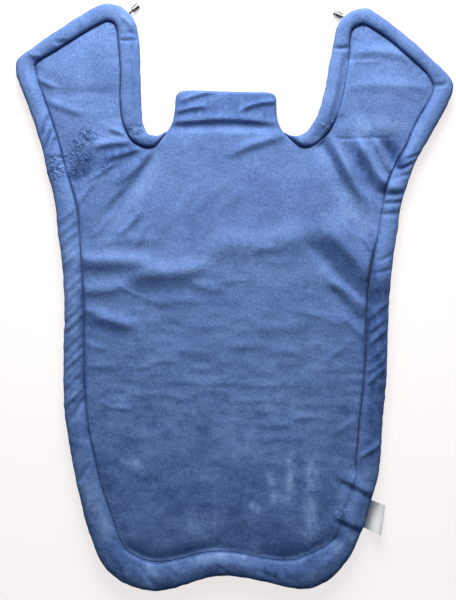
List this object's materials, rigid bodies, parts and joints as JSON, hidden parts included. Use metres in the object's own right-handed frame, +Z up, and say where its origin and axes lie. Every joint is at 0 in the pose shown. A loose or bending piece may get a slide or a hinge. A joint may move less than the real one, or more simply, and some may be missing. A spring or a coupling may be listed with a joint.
{
  "type": "lead apron",
  "caption": "Plush-covered shielding apron, laid flat: padded body with edge rolls, folding shoulder wings, a collar flap and magnetic neck clasps over lead-vinyl sheets.",
  "frame": {"origin": "on the table under the middle of the body panel, on its back face", "axes": "+X to the right and +Y towards the neck as seen from above, +Z up from the table through the front face"},
  "size_m": [0.6118, 0.8235, 0.02],
  "materials": {
    "plush": "short-pile plush, matt with a soft sheen",
    "wadding": "loose fibre wadding",
    "lead_vinyl": "smooth flexible lead-loaded vinyl",
    "clasp_metal": "polished plating",
    "magnet": "plated magnet",
    "elastic_cord": "black covered elastic",
    "label_tape": "blank satin tape"
  },
  "bodies": {
    "apron_body": {"body_front_cover": "plush", "body_front_padding": "wadding", "body_shield_upper": "lead_vinyl", "body_shield_lower": "lead_vinyl", "body_rear_padding": "wadding", "body_back_cover": "plush", "left_side_roll": "plush", "left_side_filler": "wadding", "right_side_roll": "plush", "right_side_filler": "wadding", "hem_roll": "plush", "hem_filler": "wadding", "left_notch_roll": "plush", "left_notch_filler": "wadding", "right_notch_roll": "plush", "right_notch_filler": "wadding"},
    "left_wing": {"left_wing_front_cover": "plush", "left_wing_padding": "wadding", "left_wing_shield": "lead_vinyl", "left_wing_back_cover": "plush", "left_wing_outer_roll": "plush", "left_wing_outer_filler": "wadding", "left_wing_inner_roll": "plush", "left_wing_inner_filler": "wadding", "left_cord_anchor": "elastic_cord"},
    "right_wing": {"right_wing_front_cover": "plush", "right_wing_padding": "wadding", "right_wing_shield": "lead_vinyl", "right_wing_back_cover": "plush", "right_wing_outer_roll": "plush", "right_wing_outer_filler": "wadding", "right_wing_inner_roll": "plush", "right_wing_inner_filler": "wadding", "right_cord_anchor": "elastic_cord"},
    "collar": {"collar_front_cover": "plush", "collar_padding": "wadding", "collar_shield": "lead_vinyl", "collar_back_cover": "plush"},
    "left_clasp": {"left_clasp_cord": "elastic_cord", "left_clasp_knot": "elastic_cord", "left_clasp_magnet": "magnet", "left_clasp_socket": "clasp_metal"},
    "right_clasp": {"right_clasp_cord": "elastic_cord", "right_clasp_knot": "elastic_cord", "right_clasp_magnet": "magnet", "right_clasp_barrel": "clasp_metal", "right_clasp_plug": "clasp_metal"},
    "label": {"care_label": "label_tape"}
  },
  "joints": [
    {"name": "left_wing_fold", "type": "hinge", "parent": "apron_body", "child": "left_wing", "pos_m": [-0.107, 0.337, 0.02], "axis": [0.9272, 0.3746, 0], "range_deg": [0, 150]},
    {"name": "right_wing_fold", "type": "hinge", "parent": "apron_body", "child": "right_wing", "pos_m": [0.107, 0.337, 0.02], "axis": [0.9272, -0.3746, 0], "range_deg": [0, 150]},
    {"name": "collar_fold", "type": "hinge", "parent": "apron_body", "child": "collar", "pos_m": [0, 0.33, 0.015], "axis": [1, 0, 0], "range_deg": [0, 150]},
    {"name": "left_clasp_swing", "type": "hinge", "parent": "left_wing", "child": "left_clasp", "pos_m": [-0.13388, 0.48896, 0.0045], "axis": [0, 0, 1], "range_deg": [-29, 41]},
    {"name": "right_clasp_swing", "type": "hinge", "parent": "right_wing", "child": "right_clasp", "pos_m": [0.16612, 0.48118, 0.0045], "axis": [0, 0, 1], "range_deg": [-64, 6]},
    {"name": "label_flip", "type": "hinge", "parent": "apron_body", "child": "label", "pos_m": [0.19669, -0.21557, 0.01063], "axis": [-0.2177, -0.976, 0], "range_deg": [0, 110]}
  ]
}
